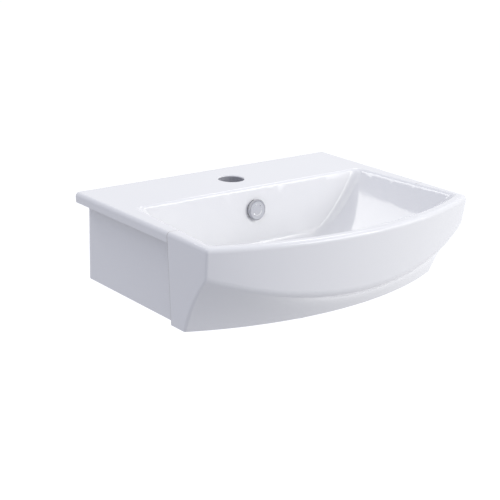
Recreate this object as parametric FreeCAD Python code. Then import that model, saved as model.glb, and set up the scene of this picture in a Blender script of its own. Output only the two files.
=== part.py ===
import FreeCAD, Part
import math
import os

# A semi-recessed wash basin: a glazed china casting whose back half drops into a cut-out in a worktop,
# while its bowed front stands out over the worktop's edge.  It holds a round overflow cover, a slotted
# push-button waste and the two bolts that tie it to the wall.
# Millimetres.  X runs along the wall, +Y points into the wall and Z up.  The origin is on the wall
# face, in the middle of the basin, at the height of the worktop's top.

# ---- the casting's outer form
WIDTH = 420.0           # across the rim
SIDE_DEPTH = 283.0      # wall to the front corners
BOW = 48.0              # the middle of the front stands this far before its corners
LIP = 13.0              # rim above the worktop
APRON = 117.0           # rim down to the bottom edge
SIDE_RAKE = 7.0         # each cheek leans in by this at the bottom
BREAK_CORNER = 38.0     # depth of the front's break line below the rim, at the corners
BREAK_MIDDLE = 77.0     # and in the middle
BREAK_SET = 5.0         # the upper band leans back by this at the break line
APRON_RAKE = 54.0       # the bottom edge lies this far behind the rim
COVE = 4.5              # hollow of the lower face
BREAK_SOFTNESS = 14.0   # radius along the break line
CORNER_EDGE = 4.0       # radius of the upright front corners
RIM_EDGE = 5.0          # radius of the rim's outer edge

# ---- the parts of the casting that sit in the worktop, and its walls
LIP_OVERHANG = 16.0     # the lip's rest on the worktop, each side
CHEEK_BACK = 205.0      # wall to the cheeks' back faces, which is the worktop's depth
REAR_CORNER = 8.0       # upright corners of the part in the cut-out
WALL = 9.0              # cheeks and the walls in the cut-out
APRON_WALL = 11.0       # front wall, measured along Y
BACK_WALL = 12.0        # against the wall
DECK_THICK = 12.0       # tap deck
CAVITY_CORNER = 7.0     # upright corners inside the skirt

# ---- the bowl
DECK = 101.0            # wall to the bowl's back wall, at the rim
SIDE_RIM_BACK = 27.0    # rim beside the bowl, at the deck, to the bowl's wall
SIDE_RIM_FRONT = 12.0   # rim beside the bowl, at the front corners
FRONT_RIM = 15.0        # rim before the bowl, in the middle
FRONT_RIM_CORNER = 11.0 # rim before the bowl, at the corners
BOWL_FORM = 96.0        # depth to which the side walls' curve tends
BOWL_DEPTH = 84.0       # rim to the bowl's floor
BOWL_CURVE = 3.0        # power of the side walls' curve
BACK_DRAFT = 0.12       # the back wall comes forward by this for each mm of depth
BACK_COVE = 14.0        # radius at the foot of the back wall
BACK_CREASE = 9.0       # radius between the back wall and the side walls
FRONT_CREASE = 11.0     # radius at the front corners, at the rim
FRONT_CREASE_GROWTH = 55.0  # and what it gains by the floor
BOWL_EDGE = 4.0         # radius of the rim's inner edge
BOWL_SIDE_WALL = 10.5   # china round the bowl, measured across at the rim
BOWL_BACK_WALL = 8.0    # china behind the bowl
BOWL_FLOOR_WALL = 9.0   # china under the bowl

# ---- tap hole and wall fixing
TAP_HOLE = 35.0
TAP_FROM_WALL = 51.0
TAP_HOLE_EDGE = 1.5
BOLT_SPACING = 200.0
BOLT_DROP = 55.0        # rim to the bolts
BOLT_HOLE = 15.0
BOLT = 10.0
BOLT_IN_WALL = 55.0
BOLT_POINT = 10.0
BOLT_INSIDE = 38.0      # wall face to the bolt's inner end
BOLT_SHANK = 8.8        # plain shank between the bolt's two threads
SHANK_INSIDE = 2.0      # the shank's reach before the wall's face
SHANK_IN_WALL = 4.0     # and behind it
SLEEVE_FLANGE = 30.0
SLEEVE_FLANGE_THICK = 2.5
WASHER = 22.0
WASHER_THICK = 2.0
NUT_ACROSS = 17.0
NUT_THICK = 8.0
NUT_CHAMFER = 1.0

# ---- overflow: hole, duct and the chamber round the waste
OVERFLOW_DROP = 30.0    # rim to the middle of the hole
OVERFLOW_HOLE = 23.0
DUCT_WIDTH = 40.0
DUCT_DEEP = 12.0
DUCT_WALL = 7.0
DUCT_TOP = 15.0         # rim to the duct's top
CHAMBER = 68.0
CHAMBER_HIGH = 13.5
CHAMBER_FLOOR = 6.5     # china under the chamber, down to the foot of the boss
BOSS = 84.0

# ---- overflow cover
COVER = 28.0
COVER_STAND = 5.2       # proud of the bowl's back wall
COVER_SKIN = 1.4
COVER_BEVEL = 1.5
COVER_DISH = 15.0       # shallow dish in the face
COVER_DISH_DEEP = 0.5
COVER_SLOTS = 8
COVER_SLOT_WIDE = 5.0
COVER_SLOT_HIGH = 1.8
COVER_LEG = 1.2
COVER_LEG_REACH = 5.0   # legs into the socket
COVER_LEG_GAP = 8.5     # between one leg and the next
SOCKET_WALL = 1.5
SOCKET_FLANGE = 26.0
SOCKET_FLANGE_THICK = 0.8
SOCKET_BARB = 0.9       # the barbs stand this far past the hole
SOCKET_BARB_LONG = 2.6
SOCKET_SPLIT = 2.0
SOCKET_SPLIT_LONG = 7.5
COVER_SEAL = 26.4
COVER_SEAL_THICK = 0.8

# ---- waste
WASTE_FROM_WALL = 190.0
WASTE_HOLE = 46.0
SEAT = 67.0             # flat seat for the flange, sunk in the bowl's floor
SEAT_DROP = 2.0
SEAT_DISH = 92.0
WASTE_THREAD = 41.91
WASTE_BORE = 32.0
FLANGE = 64.0
FLANGE_THICK = 2.5
FLANGE_RIM = 1.1
MOUTH = 40.0            # wide end of the cone that the plug's seal closes on
TAIL = 65.0             # flange to the tail's end
THREAD_DEPTH = 1.48
RELIEF = 1.5            # undercut between the backnut's thread and the trap's
SLOTS = 4
SLOT_WIDE = 10.0
SLOT_HIGH = 11.0
FLANGE_SEAL = 60.0
FLANGE_SEAL_THICK = 1.5
LOWER_SEAL = 60.0
LOWER_SEAL_THICK = 6.0
LOWER_SEAL_TAPER = 2.0
SLIP_WASHER = 59.0
SLIP_WASHER_THICK = 2.0
BACKNUT_ACROSS = 54.0
BACKNUT_THICK = 8.0
BACKNUT_CHAMFER = 1.2
BRIDGE_UP = 13.5        # tail's end to the underside of the bridge inside it
BRIDGE_THICK = 6.0
BRIDGE_HUB = 14.0
BRIDGE_ARM = 3.2
BRIDGE_ARMS = 3

# ---- push-button cartridge and plug
TRAVEL = 7.0            # the plug's stroke
CLOSED_GAP = 0.5        # under the plug's rim when it is shut
PLUG = 63.0
PLUG_DOME = 2.2         # the crown's rise over its edge
PLUG_EDGE = 2.8
PLUG_LIP = 1.5
PLUG_LIP_WALL = 2.0
PLUG_BOSS = 30.0
PLUG_BOSS_LONG = 5.5
PLUG_GROOVE = 26.4
PLUG_GROOVE_UP = 0.5    # boss's end to the groove
PLUG_HUB = 16.0
PLUG_HUB_LONG = 7.0
SEAL_THICK = 2.0
SEAL_GAP = 0.3          # left at the cone when the plug is shut
STUD = 6.0              # the plunger's threaded top
STUD_IN_HUB = 6.0
LOCK_NUT_ACROSS = 10.0
LOCK_NUT_THICK = 3.0
NECK = 7.0
SHOULDER_LONG = 6.0
COLLAR_THICK = 3.0
COLLAR_SPIGOT = 3.0
COLLAR_CLEAR = 3.6      # lock nut to the collar when the plug is shut
BARREL = 17.0
BARREL_BORE = 12.0
BARREL_FLOOR = 3.0
FOOT_STUD = 8.0
FOOT_STUD_LONG = 6.0
ROTOR_LONG = 6.0
ROTOR_CORE = 9.4
ROTOR_FINS = 4
ROTOR_FIN = 2.4
ROTOR_PIN = 4.0
SPRING_WIRE = 0.9
SPRING_MEAN = 8.6
SPRING_TURNS = 5

# ---- clearances
RUNNING = 0.08          # radial, between a sliding or turning part and its bore
THREAD_PLAY = 0.05      # radial, between a thread and its nut or socket
SEATED = 0.3            # end play left between parts that move
DROP_IN = 0.3           # radial, between a bush or seal and the hole that it drops into
WALL_SEAT = 0.2         # between the overflow's seal and the bowl's wall, which isn't quite flat
PAST = 6.0              # how far a cutting tool runs past what it cuts

half = WIDTH / 2
bottom = LIP - APRON
deck_under = LIP - DECK_THICK
floor = LIP - BOWL_DEPTH
rear_half = half - LIP_OVERHANG
underfloor = floor - BOWL_FLOOR_WALL
waste_seat = floor - SEAT_DROP
chamber_top = underfloor
chamber_low = chamber_top - CHAMBER_HIGH
boss_foot = chamber_low - CHAMBER_FLOOR


def vec(x, y, z):
    return FreeCAD.Vector(x, y, z)


def block(x_low, x_high, y_low, y_high, z_low, z_high):
    return Part.makeBox(x_high - x_low, y_high - y_low, z_high - z_low, vec(x_low, y_low, z_low))


def rod(diameter, z_low, z_high):
    return Part.makeCylinder(diameter / 2, z_high - z_low, vec(0, 0, z_low))


def turned(profile):
    """A solid of revolution about Z, from (diameter, z) points."""
    points = [vec(diameter / 2, 0, z) for diameter, z in profile]
    face = Part.Face(Part.makePolygon(points + points[:1]))
    return face.revolve(vec(0, 0, 0), vec(0, 0, 1), 360)


def washer(outer, inner, z_low, z_high):
    return turned([(inner, z_low), (outer, z_low), (outer, z_high), (inner, z_high)])


def hexagon(across, z_low, z_high):
    radius = across / math.sqrt(3)
    corners = [vec(radius * math.cos(math.radians(60 * i)), radius * math.sin(math.radians(60 * i)), z_low)
               for i in range(6)]
    return Part.Face(Part.makePolygon(corners + corners[:1])).extrude(vec(0, 0, z_high - z_low))


def nut(across, bore, z_low, z_high, chamfer):
    """A hexagon nut, its corners turned down by the chamfer at both ends."""
    corners = 2 * across / math.sqrt(3)
    turned_down = turned([(bore, z_low), (corners - 2 * chamfer, z_low), (corners, z_low + chamfer),
                          (corners, z_high - chamfer), (corners - 2 * chamfer, z_high), (bore, z_high)])
    return hexagon(across, z_low, z_high).common(turned_down)


def around(shape, count, first=0.0):
    """Copies of a shape, evenly turned about Z, as one compound."""
    copies = []
    for i in range(count):
        copy = shape.copy()
        copy.rotate(vec(0, 0, 0), vec(0, 0, 1), first + 360.0 * i / count)
        copies.append(copy)
    return Part.makeCompound(copies)


def edges_where(shape, test):
    return [edge for edge in shape.Edges if test(edge.BoundBox)]


# ---------------------------------------------------------------- casting: outer form

def bow(x, chord_half, rise):
    """How far an arc with this half chord and rise stands before its ends, at x."""
    radius = (chord_half ** 2 + rise ** 2) / (2 * rise)
    return rise - radius + math.sqrt(radius ** 2 - x ** 2)


def front_tool(inset):
    """Everything before the front: an upper band, a soft break line and a hollow lower face.
    Its section stays the same shape across the basin, while the rim and the break line bow."""
    sections = []
    for step in range(-4, 5):
        x = step * (half + PAST) / 4
        rim_y = inset - SIDE_DEPTH - bow(x, half, BOW)
        break_z = LIP - BREAK_CORNER - bow(x, half, BREAK_MIDDLE - BREAK_CORNER)
        lean = BREAK_SET / (LIP - RIM_EDGE - break_z)
        top = vec(x, rim_y - lean * (RIM_EDGE + PAST), LIP + PAST)
        crest = vec(x, rim_y + BREAK_SET, break_z)
        foot = vec(x, rim_y + APRON_RAKE, bottom)
        along = (foot - crest).normalize()
        below = foot + along * (2 * PAST)

        # the hollow's circle, whose centre is before the front
        hollow = (crest.distanceToPoint(foot) ** 2 / 4 + COVE ** 2) / (2 * COVE)
        hollow_centre = (crest + foot) * 0.5 + vec(0, -along.z, along.y) * (COVE - hollow)

        # the break's circle, inside the china: it touches the upper band and the hollow
        down = (crest - top).normalize()
        inward = vec(0, -down.z, down.y)
        reach = crest + inward * BREAK_SOFTNESS - hollow_centre
        ahead = reach.dot(down)
        setback = ahead + math.sqrt(ahead ** 2 - reach.dot(reach) + (hollow + BREAK_SOFTNESS) ** 2)
        soft_start = crest - down * setback
        soft_centre = soft_start + inward * BREAK_SOFTNESS
        soft_end = hollow_centre + (soft_centre - hollow_centre).normalize() * hollow
        soft_way = (soft_start + soft_end - soft_centre * 2).normalize()
        hollow_way = (soft_end + foot - hollow_centre * 2).normalize()

        out_y = -SIDE_DEPTH - BOW - 10 * PAST
        corners = [below, vec(x, out_y, below.z), vec(x, out_y, LIP + PAST), top]
        sides = [Part.LineSegment(top, soft_start),
                 Part.Arc(soft_start, soft_centre + soft_way * BREAK_SOFTNESS, soft_end),
                 Part.Arc(soft_end, hollow_centre + hollow_way * hollow, foot),
                 Part.LineSegment(foot, below)]
        sides += [Part.LineSegment(a, b) for a, b in zip(corners, corners[1:])]
        sections.append(Part.Wire([side.toShape() for side in sides]))
    return Part.makeLoft(sections, True, False)


def raked_block(inset, y_low, y_high, z_low, z_high):
    """A block whose sides lean in towards the bottom.  It has the basin's width, less the inset,
    just under the rim's rounded edge."""
    corners = []
    for z in (z_high, z_low):
        corners.append(half - inset - SIDE_RAKE * (LIP - RIM_EDGE - z) / (APRON - RIM_EDGE))
    points = [vec(-corners[0], y_high, z_high), vec(corners[0], y_high, z_high),
              vec(corners[1], y_high, z_low), vec(-corners[1], y_high, z_low)]
    return Part.Face(Part.makePolygon(points + points[:1])).extrude(vec(0, y_low - y_high, 0))


def outer_form():
    front = -SIDE_DEPTH - BOW - 2 * PAST
    form = raked_block(0, front, 0, bottom, LIP).cut(front_tool(0))
    form = form.makeFillet(CORNER_EDGE, edges_where(
        form, lambda box: box.YMax < -CHEEK_BACK and box.XLength < WIDTH / 4 and box.ZLength > CORNER_EDGE))
    form = form.makeFillet(RIM_EDGE, edges_where(
        form, lambda box: box.ZMin > LIP - 0.01 and box.YMin < -1))
    for side in (-1, 1):
        beside = block(rear_half, half + PAST, -CHEEK_BACK, PAST, bottom - PAST, 0)
        if side < 0:
            beside = beside.mirror(vec(0, 0, 0), vec(1, 0, 0))
        form = form.cut(beside)
    return form.makeFillet(REAR_CORNER, edges_where(
        form, lambda box: box.ZMax < 0.01 and box.ZLength > APRON / 2 and box.YMin > -1))


# ---------------------------------------------------------------- casting: bowl

def bowl_outline(depth, grow_side, grow_back, grow_down):
    """The bowl's outline at a depth below the rim.  Its back is straight, its sides run straight
    to the front corners and its front is an arc.  It narrows as a power curve, which is steep at
    the rim and flat at the floor."""
    taper = (1 - depth / (BOWL_FORM + grow_down)) ** (1 / BOWL_CURVE)
    centre_y = -WASTE_FROM_WALL
    foot = max(0.0, depth - (BOWL_DEPTH + grow_down - BACK_COVE))
    cove = BACK_COVE - math.sqrt(BACK_COVE ** 2 - min(foot, BACK_COVE) ** 2)
    back_y = -DECK - BACK_DRAFT * depth - cove + grow_back
    back_half = (half - SIDE_RIM_BACK + grow_side) * taper
    front_half = (half - SIDE_RIM_FRONT + grow_side) * taper
    corner_y = centre_y - (SIDE_DEPTH - FRONT_RIM_CORNER + grow_side - WASTE_FROM_WALL) * taper
    middle_y = centre_y - (SIDE_DEPTH + BOW - FRONT_RIM + grow_side - WASTE_FROM_WALL) * taper
    crease = FRONT_CREASE + FRONT_CREASE_GROWTH * (1 - taper)
    z = LIP - depth

    # the front arc's circle, and the side's line from the back corner to the front corner
    rise = corner_y - middle_y
    radius = (front_half ** 2 + rise ** 2) / (2 * rise)
    arc_y = middle_y + radius
    side = vec(front_half - back_half, corner_y - back_y, 0).normalize()
    inward = vec(side.y, -side.x, 0)

    # back crease: tangent to the back line and the side's line
    turn = math.atan2(-side.y, side.x)
    reach = BACK_CREASE / math.tan(turn / 2)
    back_end = vec(back_half - reach, back_y, z)
    side_start = vec(back_half, back_y, z) + side * reach
    back_middle_centre = side_start + inward * BACK_CREASE
    back_way = (vec(back_half, back_y, z) - back_middle_centre).normalize()
    back_middle = back_middle_centre + back_way * BACK_CREASE

    # front crease: its centre is one crease inside the side's line and inside the arc
    start = vec(back_half, back_y, 0) + inward * crease - vec(0, arc_y, 0)
    along = start.dot(side)
    gone = -along + math.sqrt(along ** 2 - start.dot(start) + (radius - crease) ** 2)
    centre = start + side * gone + vec(0, arc_y, z)
    side_end = centre - inward * crease
    away = (centre - vec(0, arc_y, z)).normalize()
    front_start = centre + away * crease
    front_middle = centre + (away - inward).normalize() * crease

    def flip(point):
        return vec(-point.x, point.y, point.z)

    sides = [Part.LineSegment(flip(back_end), back_end),
             Part.Arc(back_end, back_middle, side_start),
             Part.LineSegment(side_start, side_end),
             Part.Arc(side_end, front_middle, front_start),
             Part.Arc(front_start, vec(0, middle_y, z), flip(front_start)),
             Part.Arc(flip(front_start), flip(front_middle), flip(side_end)),
             Part.LineSegment(flip(side_end), flip(side_start)),
             Part.Arc(flip(side_start), flip(back_middle), flip(back_end))]
    return Part.Wire([edge.toShape() for edge in sides])


def bowl_form(edge, grow_side=0.0, grow_back=0.0, grow_down=0.0):
    """The bowl's hollow, with its rounded edge at the rim, or, grown, the outside of the china
    round it.  The edge's arc starts a few degrees off the rim's plane, which it cuts cleanly."""
    first = math.radians(12)
    outlines = []
    for angle in (first, math.radians(30), math.radians(50), math.radians(70), math.radians(90)):
        spread = edge * (1 - math.sin(angle))
        depth = edge * (math.cos(first) - math.cos(angle))
        outlines.append(bowl_outline(depth, grow_side + spread, grow_back + spread, grow_down))
    foot = BOWL_DEPTH + grow_down - BACK_COVE
    depths = [edge * 1.25, edge * 1.75, edge * 2.75]
    depths += [foot * share for share in (0.25, 0.4, 0.6, 0.8, 0.95, 1)]
    depths += [foot + BACK_COVE * math.sin(math.radians(angle)) for angle in (25, 50, 70, 90)]
    outlines += [bowl_outline(depth, grow_side, grow_back, grow_down) for depth in depths]
    above = Part.Face(outlines[0]).extrude(vec(0, 0, PAST))
    return Part.makeLoft(outlines, True, False).fuse(above)


def back_wall_y(depth):
    return -DECK - BACK_DRAFT * depth


def duct_run(wide, behind, deep, top, floor_z, ceiling_z):
    """A channel down behind the bowl's back wall and forward under its floor to the waste."""
    low = LIP - floor_z
    wall = [vec(-wide / 2, back_wall_y(top) + behind, LIP - top),
            vec(-wide / 2, back_wall_y(top) + behind + deep, LIP - top),
            vec(-wide / 2, back_wall_y(low) + behind + deep, floor_z),
            vec(-wide / 2, back_wall_y(low) + behind, floor_z)]
    down = Part.Face(Part.makePolygon(wall + wall[:1])).extrude(vec(wide, 0, 0))
    forward = block(-wide / 2, wide / 2, -WASTE_FROM_WALL, back_wall_y(low) + behind + deep / 2,
                    floor_z, ceiling_z)
    return down.fuse(forward)


def at_waste(shape):
    shape.translate(vec(0, -WASTE_FROM_WALL, 0))
    return shape


def on_back_wall(shape):
    """Moves a shape made about Z onto the overflow's axis, square to the bowl's leaning back wall,
    with +Z into the bowl and 0 on the china."""
    lean = math.degrees(math.atan(BACK_DRAFT))
    turn = FreeCAD.Rotation(vec(1, 0, 0), 90 - lean)
    shape.Placement = FreeCAD.Placement(vec(0, back_wall_y(OVERFLOW_DROP), LIP - OVERFLOW_DROP), turn)
    return shape


def at_bolts(shape):
    """Moves a shape made about Z to both wall bolts, with 0 on the wall and +Z into the basin."""
    copies = []
    for side in (-1, 1):
        copy = shape.copy()
        copy.Placement = FreeCAD.Placement(vec(side * BOLT_SPACING / 2, 0, LIP - BOLT_DROP),
                                           FreeCAD.Rotation(vec(1, 0, 0), 90))
        copies.append(copy)
    return Part.makeCompound(copies)


def skirt_hollow():
    """The space under the deck and round the bowl, open below."""
    top = deck_under
    front = raked_block(WALL, -SIDE_DEPTH - BOW - 2 * PAST, -CHEEK_BACK - WALL, bottom - PAST, top)
    front = front.cut(front_tool(APRON_WALL))
    rear = block(WALL - rear_half, rear_half - WALL, -CHEEK_BACK - 2 * WALL, -BACK_WALL, bottom - PAST, top)
    hollow = front.fuse(rear).removeSplitter()
    hollow = hollow.makeFillet(CAVITY_CORNER, edges_where(
        hollow, lambda box: box.XLength < 0.01 and box.YLength < 0.01 and box.YMin > -CHEEK_BACK))
    bowl_skin = bowl_form(BOWL_EDGE, BOWL_SIDE_WALL, BOWL_BACK_WALL, BOWL_FLOOR_WALL)
    duct_skin = duct_run(DUCT_WIDTH + 2 * DUCT_WALL, 0, BOWL_BACK_WALL + DUCT_DEEP + DUCT_WALL,
                         DECK_THICK / 2, boss_foot, underfloor)
    boss = at_waste(rod(BOSS, boss_foot, floor))
    return hollow.cut(bowl_skin).cut(duct_skin).cut(boss)


def tap_hole():
    """A straight hole whose upper edge is rounded.  The edge's arc starts a few degrees off the
    deck's plane, as the bowl's does."""
    first = math.radians(12)
    wide = TAP_HOLE / 2 + TAP_HOLE_EDGE
    centre_z = LIP - TAP_HOLE_EDGE * math.cos(first)

    def on_edge(angle):
        return vec(wide - TAP_HOLE_EDGE * math.sin(angle), 0, centre_z + TAP_HOLE_EDGE * math.cos(angle))

    rise = [vec(TAP_HOLE / 2, 0, centre_z), vec(TAP_HOLE / 2, 0, deck_under - PAST),
            vec(0, 0, deck_under - PAST), vec(0, 0, LIP + PAST),
            vec(on_edge(first).x, 0, LIP + PAST), on_edge(first)]
    outline = [Part.LineSegment(a, b) for a, b in zip(rise, rise[1:])]
    outline.append(Part.Arc(on_edge(first), on_edge(math.radians(50)), rise[0]))
    face = Part.Face(Part.Wire([edge.toShape() for edge in outline]))
    hole = face.revolve(vec(0, 0, 0), vec(0, 0, 1), 360)
    hole.translate(vec(0, -TAP_FROM_WALL, 0))
    return hole


def basin_body():
    body = outer_form().cut(bowl_form(BOWL_EDGE))
    body = body.cut(skirt_hollow())
    body = body.fuse(at_waste(rod(BOSS, boss_foot, underfloor))).removeSplitter()
    body = body.cut(duct_run(DUCT_WIDTH, BOWL_BACK_WALL, DUCT_DEEP, DUCT_TOP, chamber_low, chamber_top))
    body = body.cut(at_waste(rod(CHAMBER, chamber_low, chamber_top)))
    body = body.cut(at_waste(rod(WASTE_HOLE, bottom - PAST, floor + PAST)))
    body = body.cut(at_waste(turned([(0, waste_seat), (SEAT, waste_seat), (SEAT_DISH, floor), (0, floor)])))
    body = body.cut(on_back_wall(rod(OVERFLOW_HOLE, -BOWL_BACK_WALL - DUCT_DEEP / 2, PAST)))
    body = body.cut(tap_hole())
    return body.cut(at_bolts(rod(BOLT_HOLE, -PAST, BACK_WALL + PAST)))


# ---------------------------------------------------------------- overflow cover

cover_base = COVER_SEAL_THICK + SOCKET_FLANGE_THICK
socket_outer = OVERFLOW_HOLE - 2 * DROP_IN
socket_bore = socket_outer - 2 * SOCKET_WALL


def overflow_cover():
    """A cap with a bevelled rim and a shallow dish.  Water enters by the slots round its skirt, and
    four legs push into the socket."""
    inner = COVER - 2 * COVER_SKIN
    face_back = COVER_STAND - COVER_SKIN
    cap = turned([(inner, cover_base), (COVER, cover_base), (COVER, COVER_STAND - COVER_BEVEL),
                  (COVER - 2 * COVER_BEVEL, COVER_STAND), (COVER_DISH, COVER_STAND),
                  (COVER_DISH - 3 * COVER_DISH_DEEP, COVER_STAND - COVER_DISH_DEEP),
                  (0, COVER_STAND - COVER_DISH_DEEP), (0, face_back - COVER_DISH_DEEP),
                  (inner - COVER_SKIN, face_back - COVER_DISH_DEEP), (inner, face_back - COVER_SKIN)])
    slot = block(inner / 2 - COVER_SKIN, COVER / 2 + PAST, -COVER_SLOT_WIDE / 2, COVER_SLOT_WIDE / 2,
                 cover_base - 0.1, cover_base + COVER_SLOT_HIGH)
    cap = cap.cut(around(slot, COVER_SLOTS, 180.0 / COVER_SLOTS))
    leg_outer = socket_bore - 2 * RUNNING
    legs = washer(leg_outer, leg_outer - 2 * COVER_LEG, cover_base - COVER_LEG_REACH,
                  face_back - COVER_DISH_DEEP)
    gap = block(0, COVER, -COVER_LEG_GAP / 2, COVER_LEG_GAP / 2, -COVER_STAND, face_back)
    return on_back_wall(cap.fuse(legs.cut(around(gap, 4))).removeSplitter())


def overflow_socket():
    """A sleeve whose split end springs out behind the china."""
    end = -BOWL_BACK_WALL - SEATED - SOCKET_BARB_LONG
    barb = OVERFLOW_HOLE + 2 * SOCKET_BARB
    sleeve = turned([(socket_bore, end), (socket_outer, end), (barb, end + SOCKET_BARB_LONG),
                     (socket_outer, end + SOCKET_BARB_LONG), (socket_outer, COVER_SEAL_THICK),
                     (SOCKET_FLANGE, COVER_SEAL_THICK), (SOCKET_FLANGE, cover_base),
                     (socket_bore, cover_base)])
    split = block(0, COVER, -SOCKET_SPLIT / 2, SOCKET_SPLIT / 2, end - PAST, end + SOCKET_SPLIT_LONG)
    return on_back_wall(sleeve.cut(around(split, 4, 45)))


def overflow_seal():
    return on_back_wall(washer(COVER_SEAL, socket_outer + 2 * DROP_IN, WALL_SEAT, COVER_SEAL_THICK))


# ---------------------------------------------------------------- waste

flange_under = waste_seat + FLANGE_SEAL_THICK
flange_top = flange_under + FLANGE_THICK
tail_end = flange_under - TAIL
bridge_low = tail_end + BRIDGE_UP
bridge_top = bridge_low + BRIDGE_THICK
lower_seal_low = boss_foot - LOWER_SEAL_THICK
slip_washer_low = lower_seal_low - SLIP_WASHER_THICK
backnut_low = slip_washer_low - BACKNUT_THICK


def waste_body():
    """Flange, slotted neck and threaded tail in one, with a bridge across it for the cartridge.
    Under the backnut's place the tail is undercut to the thread's root."""
    mouth_foot = flange_top - (MOUTH - WASTE_BORE) / 2
    relief_top = backnut_low - SEATED
    relief = WASTE_THREAD - 2 * THREAD_DEPTH
    body = turned([(WASTE_BORE, tail_end), (WASTE_THREAD, tail_end), (WASTE_THREAD, relief_top - RELIEF),
                   (relief, relief_top - RELIEF), (relief, relief_top), (WASTE_THREAD, relief_top),
                   (WASTE_THREAD, flange_under),
                   (FLANGE, flange_under), (FLANGE, flange_under + FLANGE_RIM),
                   (FLANGE - 2 * FLANGE_THICK, flange_top), (MOUTH, flange_top), (WASTE_BORE, mouth_foot)])
    slot_middle = chamber_top - CHAMBER_HIGH / 2
    slot = block(0, WASTE_THREAD, -SLOT_WIDE / 2, SLOT_WIDE / 2,
                 slot_middle - SLOT_HIGH / 2, slot_middle + SLOT_HIGH / 2)
    body = body.cut(around(slot, SLOTS, 180.0 / SLOTS))
    arm = block(0, WASTE_BORE / 2 + 1, -BRIDGE_ARM / 2, BRIDGE_ARM / 2, bridge_low, bridge_top)
    bridge = rod(BRIDGE_HUB, bridge_low, bridge_top).fuse(around(arm, BRIDGE_ARMS, 30).Solids)
    bore = rod(FOOT_STUD + 2 * THREAD_PLAY, bridge_low - 1, bridge_top + 1)
    return at_waste(body.fuse(bridge.cut(bore)).removeSplitter())


def flange_seal():
    return at_waste(washer(FLANGE_SEAL, WASTE_THREAD + 2 * DROP_IN, waste_seat, flange_under))


def lower_seal():
    inner = WASTE_THREAD + 2 * DROP_IN
    return at_waste(turned([(inner, lower_seal_low), (LOWER_SEAL, lower_seal_low),
                            (LOWER_SEAL - 2 * LOWER_SEAL_TAPER, boss_foot), (inner, boss_foot)]))


def slip_washer():
    return at_waste(washer(SLIP_WASHER, WASTE_THREAD + 2 * DROP_IN, slip_washer_low, lower_seal_low))


def waste_backnut():
    return at_waste(nut(BACKNUT_ACROSS, WASTE_THREAD + 2 * THREAD_PLAY, backnut_low, slip_washer_low,
                        BACKNUT_CHAMFER))


# ---------------------------------------------------------------- plug and its push-button cartridge

plug_lip_low = flange_top + CLOSED_GAP + TRAVEL
plug_under = plug_lip_low + PLUG_LIP
boss_low = plug_under - PLUG_BOSS_LONG
groove_low = boss_low + PLUG_GROOVE_UP
hub_low = plug_under - PLUG_HUB_LONG
lock_nut_low = hub_low - LOCK_NUT_THICK
collar_top = lock_nut_low - TRAVEL - COLLAR_CLEAR
barrel_top = collar_top - COLLAR_THICK
shoulder_top = barrel_top - COLLAR_SPIGOT - SEATED
shoulder_low = shoulder_top - SHOULDER_LONG
rotor_top = shoulder_low - SEATED
rotor_low = rotor_top - ROTOR_LONG
barrel_floor = bridge_top + BARREL_FLOOR


def plug_cap():
    """A crowned disc with a rounded edge.  A boss under it holds the seal, and a hub takes the stud."""
    edge_top = plug_under + PLUG_EDGE - PLUG_LIP
    crown_top = edge_top + PLUG_DOME
    radius = PLUG / 2
    lip_inner = radius - PLUG_LIP_WALL
    round_off = PLUG_EDGE / 2
    crown_edge = vec(radius - round_off, 0, edge_top)
    crown = vec(0, 0, crown_top)
    between = vec((radius - round_off) / 2, 0, edge_top + 0.75 * PLUG_DOME)
    side_middle = vec(radius, 0, edge_top - round_off)
    side_low = vec(radius - round_off, 0, plug_lip_low)
    corners = [side_low, vec(lip_inner, 0, plug_lip_low), vec(lip_inner, 0, plug_under),
               vec(PLUG_BOSS / 2, 0, plug_under), vec(PLUG_BOSS / 2, 0, boss_low),
               vec(PLUG_HUB / 2, 0, boss_low), vec(PLUG_HUB / 2, 0, hub_low), vec(0, 0, hub_low), crown]
    outline = [Part.Arc(crown, between, crown_edge), Part.Arc(crown_edge, side_middle, side_low)]
    outline += [Part.LineSegment(a, b) for a, b in zip(corners, corners[1:])]
    face = Part.Face(Part.Wire([edge.toShape() for edge in outline]))
    cap = face.revolve(vec(0, 0, 0), vec(0, 0, 1), 360)
    groove = washer(PLUG_BOSS + 2, PLUG_GROOVE, groove_low, groove_low + SEAL_THICK)
    hole = rod(STUD + 2 * THREAD_PLAY, hub_low - 1, hub_low + STUD_IN_HUB + SEATED)
    return at_waste(cap.cut(groove).cut(hole))


def plug_seal():
    """A lip seal whose outside is a cone, parallel to the waste's mouth."""
    drop = flange_top - (groove_low - TRAVEL)
    low = MOUTH - 2 * drop - 2 * SEAL_GAP * math.sqrt(2)
    return at_waste(turned([(PLUG_GROOVE, groove_low), (low, groove_low),
                            (low + 2 * SEAL_THICK, groove_low + SEAL_THICK),
                            (PLUG_GROOVE, groove_low + SEAL_THICK)]))


def lock_nut():
    return at_waste(nut(LOCK_NUT_ACROSS, STUD + 2 * THREAD_PLAY, lock_nut_low, hub_low, NUT_CHAMFER / 2))


def plunger():
    """The push rod: a stud for the plug, a neck through the collar, a shoulder in the barrel and a
    pin for the rotor."""
    shoulder = BARREL_BORE - 2 * RUNNING
    return at_waste(turned([(0, rotor_low), (ROTOR_PIN, rotor_low), (ROTOR_PIN, shoulder_low),
                            (shoulder, shoulder_low), (shoulder, shoulder_top), (NECK, shoulder_top),
                            (NECK, lock_nut_low), (STUD, lock_nut_low), (STUD, hub_low + STUD_IN_HUB),
                            (0, hub_low + STUD_IN_HUB)]))


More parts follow.
